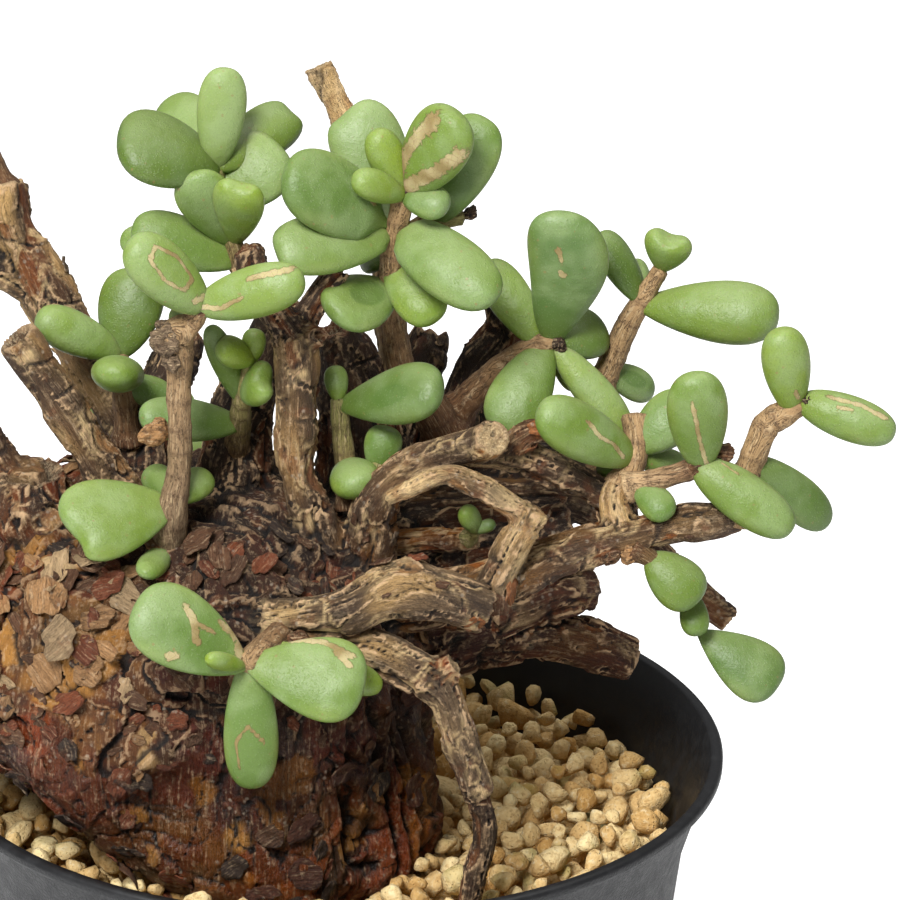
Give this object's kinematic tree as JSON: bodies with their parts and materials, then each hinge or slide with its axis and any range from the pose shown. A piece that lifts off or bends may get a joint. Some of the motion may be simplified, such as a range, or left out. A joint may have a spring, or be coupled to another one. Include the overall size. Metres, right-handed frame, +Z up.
{
  "type": "potted ceraria pygmaea",
  "caption": "Dwarf succulent tree with a swollen flaky caudex, gnarled bare branches and thick round green leaves, rooted in pumice grains in a round black nursery pot.",
  "frame": {"origin": "centre of the pot's flat underside", "axes": "+Z up out of the pot, +X to the right and +Y away as seen from the front of the plant"},
  "size_m": [0.1259, 0.0921, 0.1604],
  "materials": {
    "pot_plastic": "black, fine grain outside and smoother inside",
    "pumice": "matt rounded cream and ochre grains",
    "bark": "flaky red-brown bark, grey fissured old branches",
    "leaf": "fleshy blue-green leaves with a waxy bloom"
  },
  "bodies": {
    "root": {"pot": "pot_plastic", "gravel": "pumice", "wood": "bark", "stem_crown": "leaf", "stem_tan": "leaf", "stem_left": "leaf", "stem_centre": "leaf", "stem_centre_right": "leaf", "stem_orange": "leaf", "stem_upright": "leaf", "stem_fork": "leaf", "stem_right": "leaf", "stem_far_right": "leaf", "stem_hanging": "leaf", "stem_front": "leaf", "stem_young": "leaf", "stem_behind_ringed": "leaf", "stem_arch_sprig": "leaf", "stem_stub_sprig": "leaf", "stem_far_left_top": "leaf", "stem_left_fork": "leaf", "stem_left_arm": "leaf", "stem_left_back": "leaf", "stem_back": "leaf", "stem_back_right": "leaf"}
  },
  "joints": []
}
